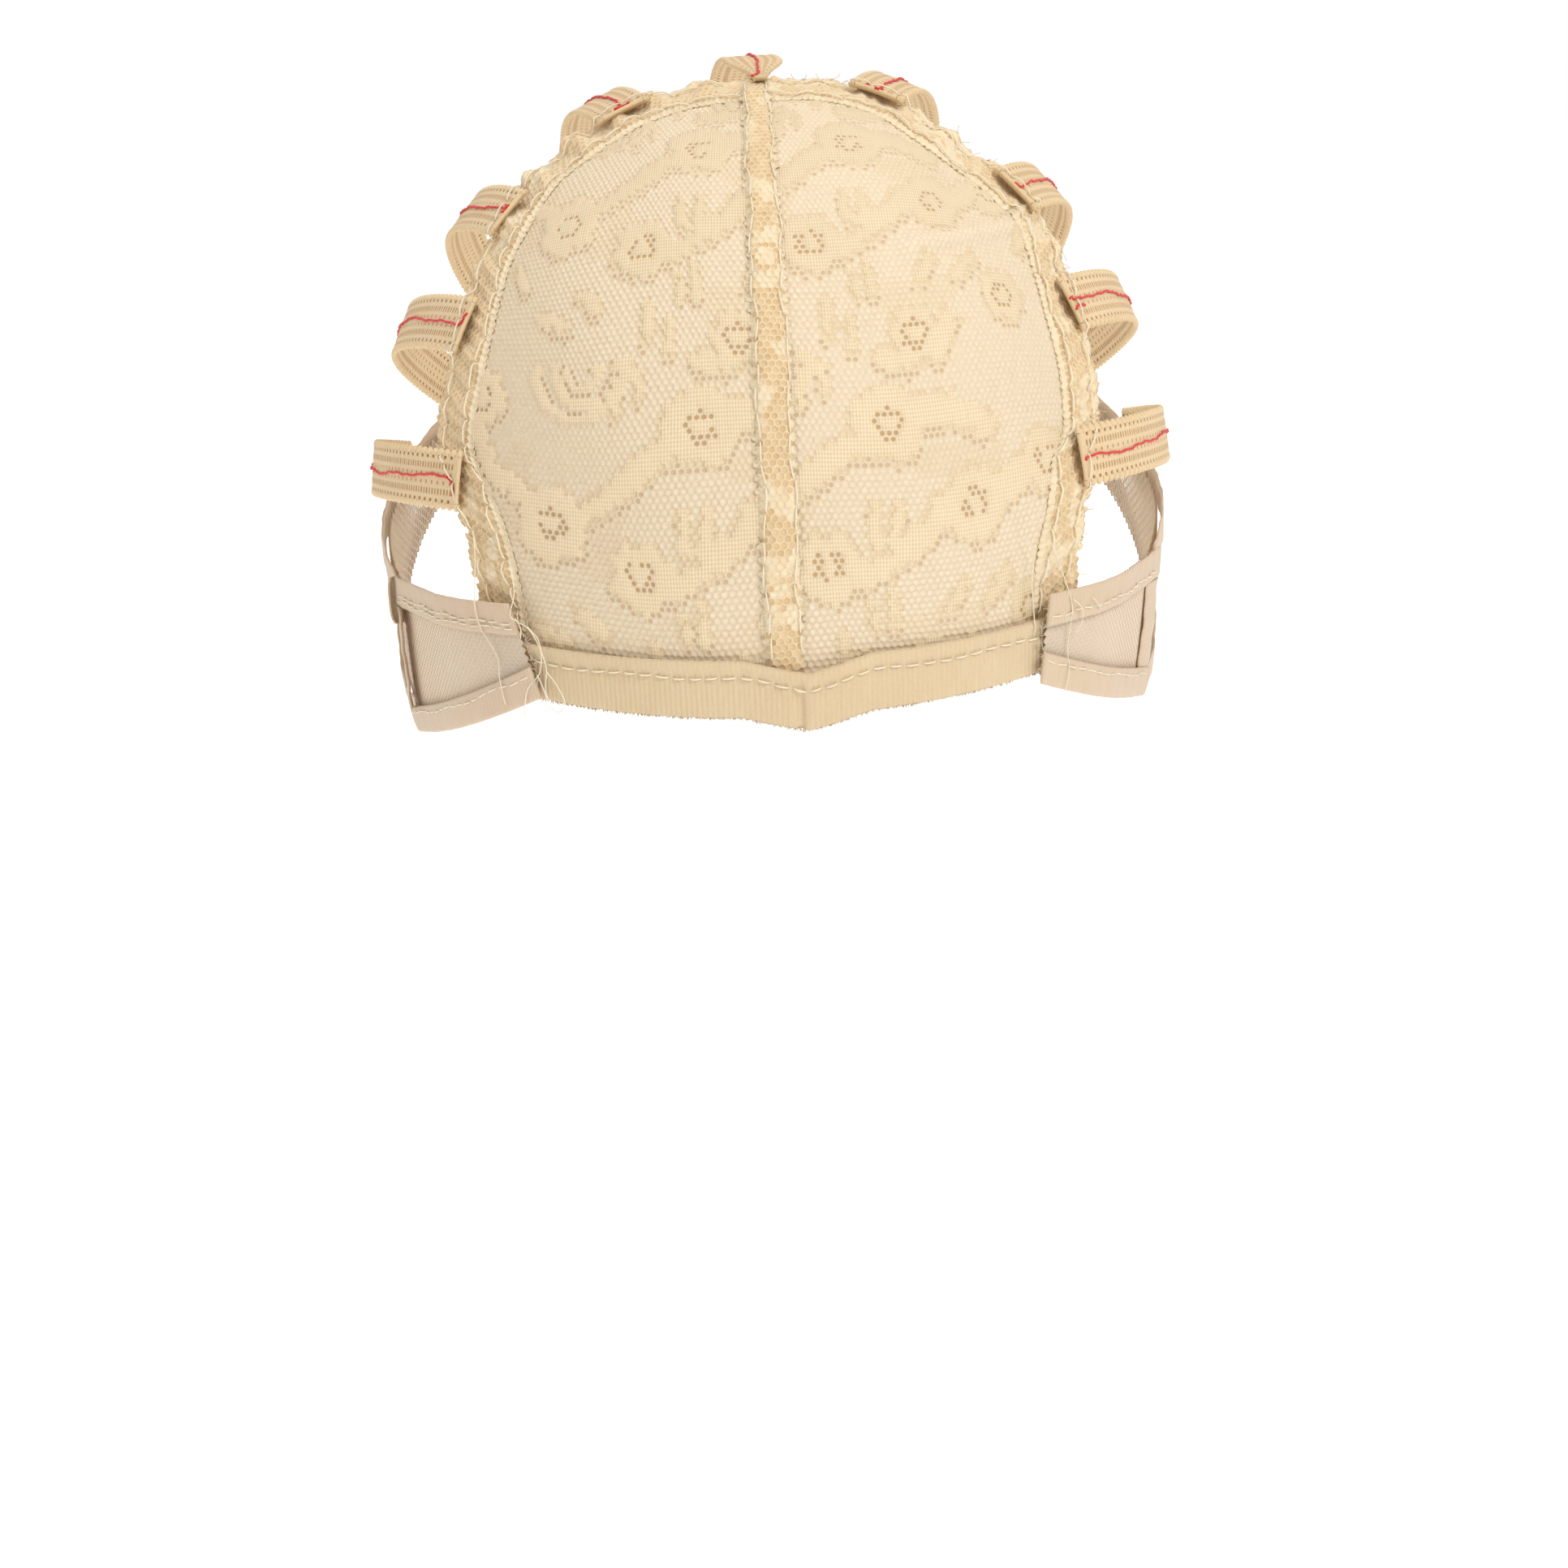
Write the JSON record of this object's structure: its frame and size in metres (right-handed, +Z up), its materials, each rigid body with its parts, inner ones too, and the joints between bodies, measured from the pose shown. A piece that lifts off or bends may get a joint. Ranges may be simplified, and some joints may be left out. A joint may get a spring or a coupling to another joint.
{
  "type": "wig cap",
  "caption": "Wig-making cap with a stretch-lace back, plush nape band, mesh tabs and elastic straps that reach over the crown to a mesh front band.",
  "frame": {"origin": "inside of the crown under the top strap, where the wearer's head holds the cap", "axes": "+Z up, +Y the way the wearer looks, +X to the wearer's right, so the lace back faces -Y"},
  "size_m": [0.168, 0.1981, 0.1289],
  "materials": {
    "stretch_lace": "matte knitted lace",
    "plush_elastic": "matte ribbed plush",
    "strap_elastic": "matte crocheted elastic",
    "ribbon": "soft satin",
    "tab_net": "matte net",
    "cream_thread": "soft sheen",
    "red_thread": "soft sheen"
  },
  "bodies": {
    "root": {"lace_panel_left": "stretch_lace", "lace_panel_right": "stretch_lace", "edge_hem_left": "stretch_lace", "edge_hem_right": "stretch_lace", "centre_seam": "stretch_lace", "nape_band": "plush_elastic", "strap_top": "strap_elastic", "strap_lower_left": "strap_elastic", "strap_lower_right": "strap_elastic", "strap_middle_left": "strap_elastic", "strap_middle_right": "strap_elastic", "strap_upper_left": "strap_elastic", "strap_upper_right": "strap_elastic", "strap_crown_left": "strap_elastic", "strap_crown_right": "strap_elastic", "tab_top_ribbon_left": "ribbon", "tab_bottom_ribbon_left": "ribbon", "tab_end_ribbon_left": "ribbon", "tab_top_ribbon_right": "ribbon", "tab_bottom_ribbon_right": "ribbon", "tab_end_ribbon_right": "ribbon", "front_edge_ribbon": "ribbon", "front_inner_ribbon": "ribbon", "tab_mesh_left": "tab_net", "tab_mesh_right": "tab_net", "front_mesh": "tab_net"}
  },
  "joints": []
}
